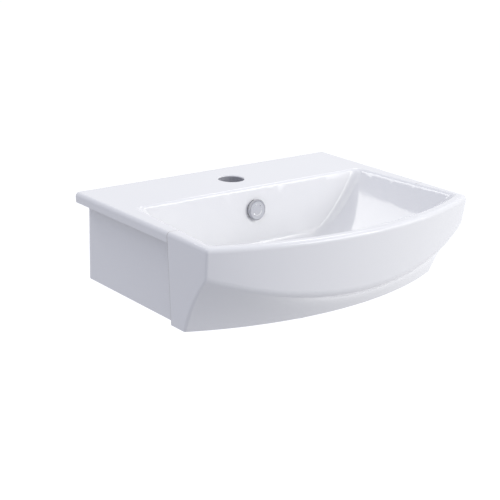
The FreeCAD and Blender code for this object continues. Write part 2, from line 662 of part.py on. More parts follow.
def rotor():
    """The indexing ring, which turns under the plunger at each push."""
    core = rod(ROTOR_CORE, rotor_low, rotor_top)
    reach = BARREL_BORE / 2 - RUNNING
    fin = block(0, reach, -ROTOR_FIN / 2, ROTOR_FIN / 2, rotor_low, rotor_top)
    disc = rod(2 * reach, rotor_low, rotor_top)
    turning = core.fuse(disc.common(around(fin, ROTOR_FINS)).Solids)
    return at_waste(turning.cut(rod(ROTOR_PIN + 2 * RUNNING, rotor_low - 1, rotor_top + 1)).removeSplitter())


def cartridge_barrel():
    body = turned([(0, bridge_top - FOOT_STUD_LONG), (FOOT_STUD, bridge_top - FOOT_STUD_LONG),
                   (FOOT_STUD, bridge_top), (BARREL, bridge_top), (BARREL, barrel_top),
                   (BARREL_BORE, barrel_top), (BARREL_BORE, barrel_floor), (0, barrel_floor)])
    return at_waste(body)


def cartridge_collar():
    """Closes the barrel and guides the plunger's neck."""
    bore = NECK + 2 * RUNNING
    return at_waste(turned([(bore, barrel_top - COLLAR_SPIGOT),
                            (BARREL_BORE - 2 * THREAD_PLAY, barrel_top - COLLAR_SPIGOT),
                            (BARREL_BORE - 2 * THREAD_PLAY, barrel_top), (BARREL, barrel_top),
                            (BARREL, collar_top - NUT_CHAMFER), (BARREL - 2 * NUT_CHAMFER, collar_top),
                            (bore, collar_top)]))


def cartridge_spring():
    low = barrel_floor + SPRING_WIRE / 2
    high = rotor_low - SPRING_WIRE / 2
    path = Part.makeHelix((high - low) / SPRING_TURNS, high - low, SPRING_MEAN / 2)
    wire = Part.Wire(Part.makeCircle(SPRING_WIRE / 2, vec(SPRING_MEAN / 2, 0, 0), vec(0, 1, 0)))
    spring = Part.Wire(path).makePipeShell([wire], True, True)
    spring.translate(vec(0, 0, low))
    return at_waste(spring)


# ---------------------------------------------------------------- wall fixing

sleeve_end = BACK_WALL + SLEEVE_FLANGE_THICK
washer_end = sleeve_end + WASHER_THICK


def wall_bolts():
    """Hanger bolts: a pointed screw for the wall plug, a plain shank and a thread for the nut."""
    return at_bolts(turned([(0, -BOLT_IN_WALL), (BOLT, BOLT_POINT - BOLT_IN_WALL),
                            (BOLT, -SHANK_IN_WALL), (BOLT_SHANK, -SHANK_IN_WALL),
                            (BOLT_SHANK, SHANK_INSIDE), (BOLT, SHANK_INSIDE),
                            (BOLT, BOLT_INSIDE - NUT_CHAMFER), (BOLT - 2 * NUT_CHAMFER, BOLT_INSIDE),
                            (0, BOLT_INSIDE)]))


def wall_sleeves():
    inner = BOLT + 2 * THREAD_PLAY
    return at_bolts(turned([(inner, 0), (BOLT_HOLE - 2 * DROP_IN, 0), (BOLT_HOLE - 2 * DROP_IN, BACK_WALL),
                            (SLEEVE_FLANGE, BACK_WALL), (SLEEVE_FLANGE, sleeve_end), (inner, sleeve_end)]))


def wall_washers():
    return at_bolts(washer(WASHER, BOLT + 2 * DROP_IN, sleeve_end, washer_end))


def wall_nuts():
    return at_bolts(nut(NUT_ACROSS, BOLT + 2 * THREAD_PLAY, washer_end, washer_end + NUT_THICK, NUT_CHAMFER))


NODES = {
    "basin_body": basin_body,
    "overflow_cover": overflow_cover,
    "overflow_socket": overflow_socket,
    "overflow_seal": overflow_seal,
    "waste_body": waste_body,
    "flange_seal": flange_seal,
    "lower_seal": lower_seal,
    "slip_washer": slip_washer,
    "waste_backnut": waste_backnut,
    "plug_cap": plug_cap,
    "plug_seal": plug_seal,
    "lock_nut": lock_nut,
    "plunger": plunger,
    "rotor": rotor,
    "cartridge_barrel": cartridge_barrel,
    "cartridge_collar": cartridge_collar,
    "cartridge_spring": cartridge_spring,
    "wall_bolts": wall_bolts,
    "wall_sleeves": wall_sleeves,
    "wall_washers": wall_washers,
    "wall_nuts": wall_nuts,
}

os.makedirs("parts", exist_ok=True)
for name, make in NODES.items():
    shape = make()
    shape.exportStep("parts/" + name + ".step")
    box = shape.BoundBox
    print(f"{name:18s} solids {len(shape.Solids)}  volume {shape.Volume / 1000:9.2f} cm3"
          f"  z {box.ZMin:8.2f} to {box.ZMax:7.2f}  valid {shape.isValid()}")
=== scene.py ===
# %% [markdown]
# # A semi-recessed basin
# The real object is one casting of white china, with a tap hole, an overflow and a push-button waste.
# Its back half is let in as far as the rim, its bowed front stands out in the open, and two bolts hold
# it to the wall.  The CAD model gives every piece its size and place.  This lesson gives the pieces
# their finish, and works out the shapes that the CAD solids keep plain: the screw threads and the
# spring.  Everything is in metres: x runs along the wall, +y points into the wall, and z is up, with 0
# at the rim's underside.

import math

import bmesh
import bpy
import numpy as np
from mathutils import Matrix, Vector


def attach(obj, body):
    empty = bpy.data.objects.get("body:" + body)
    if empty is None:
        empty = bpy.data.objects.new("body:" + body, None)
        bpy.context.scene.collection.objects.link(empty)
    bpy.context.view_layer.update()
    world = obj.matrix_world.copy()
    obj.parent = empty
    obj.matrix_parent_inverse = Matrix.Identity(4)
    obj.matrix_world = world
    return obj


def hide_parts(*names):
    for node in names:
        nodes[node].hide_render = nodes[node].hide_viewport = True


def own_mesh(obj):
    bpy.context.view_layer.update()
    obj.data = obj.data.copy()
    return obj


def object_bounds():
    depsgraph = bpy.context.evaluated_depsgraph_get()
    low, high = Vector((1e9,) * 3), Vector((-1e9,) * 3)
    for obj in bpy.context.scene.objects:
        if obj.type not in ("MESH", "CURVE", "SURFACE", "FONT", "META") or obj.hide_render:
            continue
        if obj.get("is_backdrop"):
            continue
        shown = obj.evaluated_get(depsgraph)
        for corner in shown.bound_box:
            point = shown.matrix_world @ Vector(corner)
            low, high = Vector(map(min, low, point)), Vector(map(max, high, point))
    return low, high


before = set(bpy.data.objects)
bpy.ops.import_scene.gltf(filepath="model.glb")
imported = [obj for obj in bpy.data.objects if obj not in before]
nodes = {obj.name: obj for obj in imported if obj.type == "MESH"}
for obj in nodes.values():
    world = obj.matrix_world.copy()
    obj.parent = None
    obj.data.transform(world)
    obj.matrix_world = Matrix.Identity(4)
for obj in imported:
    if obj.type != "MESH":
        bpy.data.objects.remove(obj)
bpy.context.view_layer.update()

# %% [markdown]
# ## Objects and their places
# Blender keeps an object's place and directions in one matrix of four rows and columns.  Its first
# three columns say where the object's own right, up and back point, and the fourth says where it is.
# The camera and the lamps are both placed this way, because numbers say it more exactly than dragging
# an object by hand does, and the result is the same in every run.

# %% Object helpers


def placed(right, up, back, place):
    """A matrix whose columns are three directions and a place."""
    matrix = np.eye(4)
    matrix[:3, :3] = np.column_stack([right, up, back])
    matrix[:3, 3] = place
    return Matrix(matrix.tolist())


def new_object(name, data):
    """An object for a mesh, a lamp or a camera, linked to the scene."""
    made = bpy.data.objects.new(name, data)
    bpy.context.collection.objects.link(made)
    return made


unmoved = placed((1, 0, 0), (0, 1, 0), (0, 0, 1), (0, 0, 0))
print("a place that moves and turns nothing is the identity:", unmoved == Matrix.Identity(4))

# %% [markdown]
# ## The camera
# The basin is seen from the front and the left, a little from above.  A Track To constraint could aim
# the camera, but would keep it level, and this one is rolled by a degree and a half.  So its three
# directions are worked out from a yaw, a pitch and a roll, which were fitted to the rim's corners and
# the tap hole.  The lens was fitted in pixels, and Blender wants it in millimetres of its sensor.

# %% Camera
LENS_PIXELS, FRAME_PIXELS, SENSOR_MM = 1306.75, 500, 36.0
YAW, PITCH, ROLL = 0.6700195, 0.3114257, 0.0271992
EYE = (-1.0320512, -1.3984383, 0.4594124)


def camera_matrix(yaw, pitch, roll, eye):
    """Forward is the heading turned down by the pitch.  Right is level, up is right x forward, and
    the roll turns both about forward."""
    along_floor = math.cos(pitch)
    forward = np.array([math.sin(yaw) * along_floor, math.cos(yaw) * along_floor, -math.sin(pitch)])
    level = np.array([math.cos(yaw), -math.sin(yaw), 0.0])
    upright = np.cross(level, forward)
    right = math.cos(roll) * level + math.sin(roll) * upright
    up = math.cos(roll) * upright - math.sin(roll) * level
    return placed(right, up, -forward, eye)


camera_data = bpy.data.cameras.new("camera")
camera_data.sensor_width = SENSOR_MM
camera_data.lens = LENS_PIXELS / FRAME_PIXELS * SENSOR_MM
camera = new_object("camera", camera_data)
camera.matrix_world = camera_matrix(YAW, PITCH, ROLL, EYE)
bpy.context.scene.camera = camera
bpy.context.scene.view_settings.view_transform = "Standard"
print("lens, mm:", round(camera_data.lens, 2))

# %% [markdown]
# ## Surfaces from numbers
# A turned piece is a profile carried round an axis.  Blender's Screw modifier can do that, but here the
# radius also changes on the way round, because of the thread.  So each piece is a grid of points that
# numpy works out in one go: one row for each point of the profile, one column for each angle.  A grid
# can close on itself both ways, like a tyre, or end in a point at each end, like a bolt.

# %% Grid faces


def even_angles(count):
    """Evenly spaced angles round one turn, in radians."""
    return np.arange(count) * 2 * np.pi / count


def grid_faces(rows, columns, closed):
    """Quads between each row and the next, and round the columns.  A closed grid joins its last row to
    its first."""
    row = np.arange(rows if closed else rows - 1)[:, None]
    column = np.arange(columns)[None, :]
    here, above = row * columns, (row + 1) % rows * columns
    beside = (column + 1) % columns
    return np.stack([here + column, here + beside, above + beside, above + column], -1)


def pointed_faces(rows, columns, turned):
    """Quads of an open grid, and at each end a fan of triangles round a point of its own.  Those two
    points come after the grid's.  Turned faces look the other way."""
    ring, last, centre = np.arange(columns), (rows - 1) * columns, rows * columns
    beside = (ring + 1) % columns
    quads = grid_faces(rows, columns, closed=False).reshape(-1, 4)
    fans = np.vstack([np.column_stack([beside, ring, np.full(columns, centre)]),
                      np.column_stack([last + ring, last + beside, np.full(columns, centre + 1)])])
    return (quads[:, ::-1], fans[:, [1, 0, 2]]) if turned else (quads, fans)


print("quads of a closed 4 x 6 grid:", grid_faces(4, 6, closed=True).reshape(-1, 4).shape[0])

# %% [markdown]
# Points and faces then become an object.  It is shaded smooth, except across edges that bend by more
# than the crease angle.  It rides on the basin, in place of the CAD node whose shape it refines.  A
# closed mesh whose faces point outwards has no open edges and a volume above zero, so both are printed.

# %% Mesh to piece
CREASE = math.radians(38)
MM_IN_M, CM3_IN_M3 = 1e3, 1e6


def finish_mesh(name, points, faces, node):
    """Makes a piece of points and faces, in place of a CAD node, which it hides."""
    mesh = bpy.data.meshes.new(name)
    mesh.from_pydata(points.reshape(-1, 3).tolist(), [], faces)
    mesh.polygons.foreach_set("use_smooth", np.ones(len(mesh.polygons), bool))
    mesh.set_sharp_from_angle(angle=CREASE)
    mesh.update()
    piece = new_object(name, mesh)
    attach(piece, "basin")
    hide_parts(node)
    shape = bmesh.new()
    shape.from_mesh(mesh)
    loose = sum(not edge.is_manifold for edge in shape.edges)
    volume = shape.calc_volume(signed=True) * CM3_IN_M3
    print(f"{name}: {len(mesh.polygons)} faces, {loose} open edges, {volume:.2f} cm3")
    shape.free()
    return piece


# %% [markdown]
# ## Screw threads
# A thread is a groove that climbs one pitch in each turn.  It could be cut with a Boolean and a coil,
# which is slow and leaves ragged faces.  Here the radius depends on one number only: the height in
# pitches less the angle in turns.  The whole part of that number counts the turns, and its fraction
# says where on the groove's section the point lies, from one crest to the next.

# %% Thread radius
VEE_CREST, VEE_FLANK = 0.125, 0.675
WOOD_STEEP = 3.0


def thread_phase(height, angle, pitch):
    """The fraction of (height / pitch - angle / one turn), from 0 to 1."""
    return np.mod(height / pitch - angle / (2 * np.pi), 1.0)


def triangle_wave(phase):
    """0 on the crest, evenly up to 1 at the root, and evenly down again."""
    return 1 - np.abs(2 * phase - 1)


def pipe_groove(phase):
    """A rounded groove: half of (1 - cosine), which is 0 on the crest and 1 at the root."""
    return 0.5 - 0.5 * np.cos(2 * np.pi * phase)


def vee_groove(phase):
    """A groove with straight flanks: the triangle wave, cut flat on the crest up to an eighth of its
    height, and at the root over the last fifth."""
    return np.clip((triangle_wave(phase) - VEE_CREST) / VEE_FLANK, 0, 1)


def wood_groove(phase):
    """Thin sharp crests with wide flat roots: the triangle wave, three times as steep and cut at 1."""
    return np.clip(WOOD_STEEP * triangle_wave(phase), 0, 1)


for section in (pipe_groove, vee_groove, wood_groove):
    print(section.__name__, "over one pitch:", section(np.linspace(0, 1, 9)).round(2).tolist())

# %% [markdown]
# ## The waste
# The waste is the metal tube that drains the bowl.  Its flange lies under the plug, and its threaded
# tail shows from below.  The piece is a closed ring: up the outside, over the flange, down the cone and
# down the bore.  So its profile is a list of (radius, height) points.  The flange's edges are arcs of a
# few points each, which is cheaper than a Bevel modifier and keeps the thread's rows as they are.

# %% Waste: sizes
WASTE_Y = -0.190
THREAD_R, THREAD_DEPTH, THREAD_PITCH = 0.020955, 0.00148, 0.002309
ROOT_R, BORE_R, MOUTH_R, FLANGE_R = 0.019475, 0.016, 0.020, 0.032
TAIL_END, RELIEF_LOW, RELIEF_TOP, THREAD_TOP = -0.1365, -0.1178, -0.1163, -0.0985
SLOT_LOW, SLOT_TOP, SLOT_STEPS = -0.09225, -0.08125, 3
FLANGE_UNDER, FLANGE_TOP = -0.0715, -0.0690
EDGE_R, DOME_R, DOME_IN, TAIL_CHAMFER = 0.0007, 0.0021, 0.0046, 0.0012
COLUMNS, ROWS_A_PITCH, ARC_POINTS = 96, 9, 5
print("waste, mm:", round((FLANGE_TOP - TAIL_END) * MM_IN_M, 2), "high")

# %% Waste: profile


def thread_heights(low, high):
    """Evenly spaced heights, with a fixed number of rows to a pitch."""
    return np.linspace(low, high, int(round((high - low) / THREAD_PITCH * ROWS_A_PITCH)) + 1)


def straight(radius, heights):
    """Points (radius, height) that all have the same radius."""
    return np.column_stack([np.full(len(heights), radius), heights])


def arc(centre_r, centre_z, radius, start, end):
    """Points (radius, height) on a circle, from one angle to another in degrees."""
    turn = np.radians(np.linspace(start, end, ARC_POINTS))
    return np.column_stack([centre_r + radius * np.cos(turn), centre_z + radius * np.sin(turn)])


slot_heights = np.linspace(SLOT_LOW, SLOT_TOP, SLOT_STEPS + 1)
below_slots = np.vstack([
    straight(THREAD_R, thread_heights(TAIL_END, RELIEF_LOW)),
    straight(ROOT_R, [RELIEF_LOW, RELIEF_TOP]),
    straight(THREAD_R, thread_heights(RELIEF_TOP, THREAD_TOP))])
outside = np.vstack([
    below_slots,
    straight(THREAD_R, slot_heights),
    [[THREAD_R, FLANGE_UNDER], [FLANGE_R - EDGE_R, FLANGE_UNDER]],
    arc(FLANGE_R - EDGE_R, FLANGE_UNDER + EDGE_R, EDGE_R, -90, 20),
    arc(FLANGE_R - DOME_IN, FLANGE_TOP - DOME_R, DOME_R, 38, 90),
    arc(MOUTH_R + EDGE_R, FLANGE_TOP - EDGE_R, EDGE_R, 90, 150)])
inside = np.vstack([
    [[BORE_R, FLANGE_TOP - (MOUTH_R - BORE_R)]],
    straight(BORE_R, slot_heights[::-1]),
    [[BORE_R, TAIL_END + EDGE_R], [BORE_R + EDGE_R, TAIL_END]]])
profile = np.vstack([outside, inside])
print("waste profile points:", len(profile))

# %% [markdown]
# The radius of each row is cut back by the groove where the tail is threaded.  The groove fades out
# over the last pitch under the neck, and a chamfer takes the crests down at the tail's end, as on a
# tail that was cut on a lathe.

# %% Waste: points
angles = even_angles(COLUMNS)
radius = np.repeat(profile[:, :1], COLUMNS, 1)
height = np.repeat(profile[:, 1:], COLUMNS, 1)
groove = THREAD_DEPTH * pipe_groove(thread_phase(height, angles[None, :], THREAD_PITCH))
groove *= np.clip((THREAD_TOP - height) / THREAD_PITCH, 0, 1)
chamfer = THREAD_R - TAIL_CHAMFER + (height - TAIL_END)
threaded = (radius == THREAD_R) & (height <= THREAD_TOP)
radius = np.where(threaded, np.minimum(radius - groove, chamfer), radius)
waste_points = np.stack([radius * np.cos(angles), WASTE_Y + radius * np.sin(angles), height], -1)
print("waste grid:", waste_points.shape[:2])

# %% [markdown]
# Four slots let the overflow's water into the waste.  A Boolean could cut them, but would break up the
# grid round them.  A slot is a patch of the grid left out both outside and inside, and the gap between
# the two walls is closed by quads of its own: two upright jambs, a sill and a head.

# %% Waste: slots
SLOTS, SLOT_HALF = 4, 4
slot_first, inner_first = len(below_slots), len(outside) + 1
slot_last, inner_last = slot_first + SLOT_STEPS, inner_first + SLOT_STEPS
middles = (np.arange(SLOTS) + 0.5) * COLUMNS / SLOTS
from_middle = np.abs(np.arange(COLUMNS)[:, None] + 0.5 - middles[None, :]).min(1)
waste_quads = grid_faces(len(profile), COLUMNS, closed=True)
keep = np.ones(waste_quads.shape[:2], bool)
for first in (slot_first, inner_first):
    keep[first:first + SLOT_STEPS, from_middle < SLOT_HALF] = False
waste_faces = waste_quads[keep].tolist()


def index(row, column):
    """A point's number, from its row and its column."""
    return row * COLUMNS + column % COLUMNS


def jamb(outer_a, outer_b, inner_a, inner_b):
    """Quads that join an outer edge a-b to the inner edge behind it."""
    return np.stack([outer_b, outer_a, inner_a, inner_b], -1).reshape(-1, 4).tolist()


step = np.arange(SLOT_STEPS)
outer, inner = slot_first + step, inner_last - step
for middle in middles.astype(int):
    low, high = middle - SLOT_HALF, middle + SLOT_HALF
    across = np.arange(low, high)
    waste_faces += jamb(index(outer + 1, low), index(outer, low), index(inner - 1, low), index(inner, low))
    waste_faces += jamb(index(outer, high), index(outer + 1, high),
                        index(inner, high), index(inner - 1, high))
    waste_faces += jamb(index(slot_first, across), index(slot_first, across + 1),
                        index(inner_last, across), index(inner_last, across + 1))
    waste_faces += jamb(index(slot_last, across + 1), index(slot_last, across),
                        index(inner_first, across + 1), index(inner_first, across))
print("waste faces with slots:", len(waste_faces))

# %% [markdown]
# A bridge with three arms crosses the bore and carries the push-button cartridge.  Its outline is
# worked out once for all angles: the distance to the hub's circle, or along an arm to a little way
# inside the bore's wall.  The outline and the hole in the hub, each at two heights, make a closed grid
# of four rows, so the waste's own function for faces serves here too.

# %% Waste: bridge
BRIDGE_LOW, BRIDGE_TOP = -0.123, -0.117
HUB_R, STUD_HOLE_R, ARM_HALF, ARM_SUNK = 0.007, 0.00405, 0.0016, 0.0004
ARMS, ARM_TURN, HUB_POINTS = 3, math.radians(30), 12

arm_reach = BORE_R + ARM_SUNK
hub_corner = math.asin(ARM_HALF / HUB_R)
wall_corner = math.asin(ARM_HALF / arm_reach)
hub_turns = np.linspace(hub_corner, 2 * np.pi / ARMS - hub_corner, HUB_POINTS)
arm_turns = np.concatenate([[-wall_corner, wall_corner], hub_turns])
turns = (ARM_TURN + even_angles(ARMS)[:, None] + arm_turns[None, :]).ravel()
reach = np.tile(np.concatenate([[arm_reach, arm_reach], np.full(HUB_POINTS, HUB_R)]), ARMS)
ring = np.column_stack([np.cos(turns), np.sin(turns)])
outline, hole = ring * reach[:, None], ring * STUD_HOLE_R
bridge_rows = [(outline, BRIDGE_LOW), (outline, BRIDGE_TOP), (hole, BRIDGE_TOP), (hole, BRIDGE_LOW)]
bridge_points = np.stack([np.column_stack([flat[:, 0], flat[:, 1] + WASTE_Y, np.full(len(flat), z)])
                          for flat, z in bridge_rows])
bridge_faces = grid_faces(len(bridge_rows), len(turns), closed=True).reshape(-1, 4)
bridge_faces += waste_points.size // 3
all_points = np.vstack([waste_points.reshape(-1, 3), bridge_points.reshape(-1, 3)])
waste = finish_mesh("waste_tube", all_points, waste_faces + bridge_faces.tolist(), "waste_body")

# %% [markdown]
# ## The wall bolts
# A hanger bolt has two threads.  A coarse wood thread with a point goes into the wall plug, and a fine
# machine thread takes the nut inside the basin, with a plain shank between the two.  As on the waste,
# only the radius changes along a grid.  The rows run from the point to the inner end, and each end
# closes in a single point.

# %% Bolt radius
BOLT_R, SHANK_R, CORE_R = 0.005, 0.0044, 0.0036
BOLT_TIP, SHANK_DEEP, SHANK_NEAR, BOLT_END = 0.055, 0.004, -0.002, -0.038
POINT_LONG, TIP_GAP, CORE_TAPER, END_CHAMFER = 0.010, 0.0002, 0.8, 0.001
WOOD_PITCH, FINE_PITCH, FINE_DEPTH = 0.0045, 0.0015, 0.00092
WOOD_ROWS, FINE_ROWS, BOLT_COLUMNS = 190, 193, 32

bolt_angles = even_angles(BOLT_COLUMNS)
wood_y = np.linspace(BOLT_TIP - TIP_GAP, SHANK_DEEP, WOOD_ROWS)
fine_y = np.linspace(SHANK_NEAR, BOLT_END, FINE_ROWS)


def wood_radius(y):
    """The crest less the groove.  Core and crest both run down to nothing at the point, the core by a
    power of the distance, and the core fades into the shank over the last pitch."""
    taper = np.clip((BOLT_TIP - y) / POINT_LONG, 0, 1)
    fade = np.clip((y - SHANK_DEEP) / WOOD_PITCH, 0, 1)
    core, crest = CORE_R * taper ** CORE_TAPER, BOLT_R * taper
    core = SHANK_R + (core - SHANK_R) * fade
    cut = wood_groove(thread_phase(y, bolt_angles[None, :], WOOD_PITCH))
    return np.maximum(core, crest - (crest - core) * cut)


def fine_radius(y):
    """The outer radius less the groove, held down by the chamfer at the inner end."""
    cut = FINE_DEPTH * vee_groove(thread_phase(y, bolt_angles[None, :], FINE_PITCH))
    fade = np.clip((SHANK_NEAR - y) / FINE_PITCH, 0, 1)
    return np.minimum(BOLT_R - cut * fade, BOLT_R - END_CHAMFER + (y - BOLT_END))


shank_radius = np.full((2, BOLT_COLUMNS), SHANK_R)
bolt_y = np.concatenate([wood_y, [SHANK_DEEP, SHANK_NEAR], fine_y])
bolt_radius = np.vstack([wood_radius(wood_y[:, None]), shank_radius, fine_radius(fine_y[:, None])])
print("bolt grid:", bolt_radius.shape, "largest radius, mm:", round(bolt_radius.max() * MM_IN_M, 2))

# %% Bolt mesh
BOLT_X, BOLT_Z = 0.100, -0.042
one_bolt = np.stack([bolt_radius * np.sin(bolt_angles), np.repeat(bolt_y[:, None], BOLT_COLUMNS, 1),
                     bolt_radius * np.cos(bolt_angles)], -1).reshape(-1, 3)
one_bolt = np.vstack([one_bolt, [[0, BOLT_TIP, 0], [0, BOLT_END, 0]]])
bolt_quads, bolt_fans = pointed_faces(len(bolt_y), BOLT_COLUMNS, turned=True)
bolt_points, bolt_faces = [], []
for side in (-1, 1):
    base = len(bolt_points) * len(one_bolt)
    bolt_points.append(one_bolt + [side * BOLT_X, 0, BOLT_Z])
    bolt_faces += (bolt_quads + base).tolist() + (bolt_fans + base).tolist()
bolts = finish_mesh("hanger_bolts", np.vstack(bolt_points), bolt_faces, "wall_bolts")

# %% [markdown]
# ## The cartridge's spring
# The plug stands on a small compression spring, wound from round wire.  Its last turn at each end lies
# close to the next one, so that it stands flat, and the turns between are open.  A bevelled curve would
# look as good, but a mesh has its two ends closed.

# %% Spring: heights
WIRE_R, COIL_R, WIRE_COLUMNS = 0.00045, 0.0043, 12
TURNS, ROWS_A_TURN, DEAD_TURNS, EASE_TURNS = 6.5, 40, 0.75, 0.35
SPRING_LOW, SPRING_TOP, PLUG_STROKE = -0.1140, -0.0992, 0.007
DEAD_PITCH, OPEN_PITCH = 0.00093, 0.0026
WIRE_ROOM = 2.1

turn = np.linspace(0, TURNS, int(TURNS * ROWS_A_TURN) + 1)
opened = np.clip((np.minimum(turn, TURNS - turn) - DEAD_TURNS) / EASE_TURNS, 0, 1)
climb = DEAD_PITCH + (OPEN_PITCH - DEAD_PITCH) * opened ** 2 * (3 - 2 * opened)
rise = np.concatenate([[0], np.cumsum((climb[1:] + climb[:-1]) / 2)])
wire_rise = SPRING_TOP - SPRING_LOW - WIRE_ROOM * WIRE_R
wire_z = SPRING_LOW + WIRE_R + rise / rise[-1] * wire_rise
print("spring's wire rises, mm:", round((wire_z[-1] - wire_z[0]) * MM_IN_M, 2))

# %% [markdown]
# The pitch is small over the dead turns at each end, and goes over to the open pitch by a curve that
# starts and ends level.  Added up, it gives the height at each step of the coil.  The wire's round
# sections then stand square to the coil.

# %% Spring: wire


def wound_wire(turns, heights):
    """Round sections carried along a coil: each point is the coil's point, plus the wire's radius
    times cos(around) outwards from the axis and sin(around) square to that and to the wire."""
    spin = 2 * np.pi * turns
    level = np.zeros_like(spin)
    out = np.column_stack([np.cos(spin), np.sin(spin), level])
    spine = COIL_R * out + np.column_stack([level, level + WASTE_Y, heights])
    along = np.gradient(spine, axis=0)
    along /= np.linalg.norm(along, axis=1, keepdims=True)
    across = np.cross(along, out)
    around = even_angles(WIRE_COLUMNS)[None, :, None]
    section = np.cos(around) * out[:, None] + np.sin(around) * across[:, None]
    return spine, spine[:, None] + WIRE_R * section


spine, wire = wound_wire(turn, wire_z)
wire_points = np.vstack([wire.reshape(-1, 3), spine[:1], spine[-1:]])
wire_quads, wire_fans = pointed_faces(len(turn), WIRE_COLUMNS, turned=False)
wire_faces = wire_quads.tolist() + wire_fans.tolist()
spring = finish_mesh("coil_spring", wire_points, wire_faces, "cartridge_spring")
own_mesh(spring)

# %% [markdown]
# ## Node trees in words
# A material is a graph of nodes, and its values flow along links.  Building one by hand in the Shader
# Editor is easy to see but hard to repeat.  A few small helpers keep the cells short instead: one adds
# a node and fills in its sockets, one links outputs to named inputs, one does arithmetic, and one makes
# a material with a Principled shader.  A Mix node holds sockets for every kind of value, several of
# them with the same name, so its colour sockets go by their numbers.

# %% Node helpers
MIX_LOW, MIX_HIGH, MIX_RESULT = 6, 7, 2


def add_node(tree, kind, **values):
    """Adds a shader node.  A value whose name is a setting of the node goes there, and any other goes
    to the input of that name."""
    node = tree.nodes.new(kind)
    for name, value in values.items():
        if hasattr(node, name):
            setattr(node, name, value)
        else:
            node.inputs[name.replace("_", " ")].default_value = value
    return node


def feed(tree, node, **outputs):
    """Links other nodes' outputs to a node's inputs, each by the input's name."""
    for name, output in outputs.items():
        tree.links.new(output, node.inputs[name.replace("_", " ")])


def maths(tree, operation, *terms, clamp=False):
    """One arithmetic node.  Each term is a number or another node's output."""
    node = add_node(tree, "ShaderNodeMath", operation=operation, use_clamp=clamp)
    for socket, term in zip(node.inputs, terms):
        if isinstance(term, (int, float)):
            socket.default_value = term
        else:
            tree.links.new(term, socket)
    return node.outputs[0]


def split(tree, vector):
    """The x, y and z of a vector."""
    apart = add_node(tree, "ShaderNodeSeparateXYZ")
    feed(tree, apart, Vector=vector)
    return apart.outputs


# %% Colour and surface helpers


def blend_colour(tree, factor, low, high):
    """Mixes two colours, each a triple or another node's output."""
    node = add_node(tree, "ShaderNodeMix", data_type="RGBA")
    feed(tree, node, Factor=factor)
    for socket, colour in ((node.inputs[MIX_LOW], low), (node.inputs[MIX_HIGH], high)):
        if isinstance(colour, tuple):
            socket.default_value = (*colour, 1.0)
        else:
            tree.links.new(colour, socket)
    return node.outputs[MIX_RESULT]


def new_material(name, colour, **sockets):
    """A material with one Principled shader, its base colour and any other socket by name."""
    material = bpy.data.materials.new(name)
    material.use_nodes = True
    shader = material.node_tree.nodes["Principled BSDF"]
    shader.inputs["Base Color"].default_value = (*colour, 1.0)
    for socket, value in sockets.items():
        shader.inputs[socket.replace("_", " ")].default_value = value
    return material, material.node_tree, shader


def add_bump(tree, shader, height, strength, distance):
    """Turns a height into a change of the surface's normal."""
    bump = add_node(tree, "ShaderNodeBump", Strength=strength, Distance=distance)
    feed(tree, bump, Height=height)
    feed(tree, shader, Normal=bump.outputs["Normal"])


def dress(material, *pieces):
    """Gives one material to CAD nodes, each by its name, and to new pieces."""
    pieces = [nodes[piece] if isinstance(piece, str) else piece for piece in pieces]
    for piece in pieces:
        piece.data.materials.clear()
        piece.data.materials.append(material)
    print(f"{material.name}: {', '.join(piece.name for piece in pieces)}")


# %% [markdown]
# ## Effects that several finishes share
# Three things happen on nearly every surface here.  Its gloss varies in patches, as it was handled.
# Its skin has a fine grain, as it was moulded or cast.  And a turned piece has fine rings about its
# axis.  Copied into each material, they would be hard to keep alike, so each is a node group with
# named inputs.  It is built once, and each material places it with values of its own.

# %% Group helpers


def new_group(name, inputs, output):
    """An empty node group with float inputs, a Vector input and one float output."""
    group = bpy.data.node_groups.new(name, "ShaderNodeTree")
    group.interface.new_socket("Vector", in_out="INPUT", socket_type="NodeSocketVector")
    for socket in inputs:
        group.interface.new_socket(socket, in_out="INPUT", socket_type="NodeSocketFloat")
    group.interface.new_socket(output, in_out="OUTPUT", socket_type="NodeSocketFloat")
    return group, group.nodes.new("NodeGroupInput").outputs, group.nodes.new("NodeGroupOutput")


def noise_of(tree, vector, scale, detail, roughness=0.5):
    """A noise texture's value at a vector.  Its scale is a number or another node's output."""
    noise = add_node(tree, "ShaderNodeTexNoise", Detail=detail, Roughness=roughness)
    feed(tree, noise, Vector=vector)
    if isinstance(scale, (int, float)):
        noise.inputs["Scale"].default_value = scale
    else:
        feed(tree, noise, Scale=scale)
    return noise.outputs["Fac"]


def use_group(tree, group, vector, **values):
    """Places a group in a material with its own values, and returns its output."""
    node = add_node(tree, "ShaderNodeGroup", node_tree=group)
    feed(tree, node, Vector=vector)
    for name, value in values.items():
        node.inputs[name].default_value = value
    return node.outputs[0]


# %% [markdown]
# The handled gloss is a soft noise, spread by a curve between a low and a high roughness.  The grain
# is a noise of small scale.  The rings are a noise along one line only: the distance from the axis
# plus the height, so that they run round a turned piece on its end faces and on its sides alike.

# %% Groups
PATCH_FROM, PATCH_TO = 0.34, 0.68

handled, enter, leave = new_group("handled_gloss", ("Scale", "Low", "High"), "Roughness")
patches = noise_of(handled, enter["Vector"], enter["Scale"], detail=5.0, roughness=0.62)
spread = add_node(handled, "ShaderNodeMapRange", interpolation_type="SMOOTHSTEP",
                  From_Min=PATCH_FROM, From_Max=PATCH_TO)
feed(handled, spread, Value=patches, To_Min=enter["Low"], To_Max=enter["High"])
feed(handled, leave, Roughness=spread.outputs["Result"])

grain, enter, leave = new_group("fine_grain", ("Scale",), "Height")
feed(grain, leave, Height=noise_of(grain, enter["Vector"], enter["Scale"], detail=3.0, roughness=0.7))

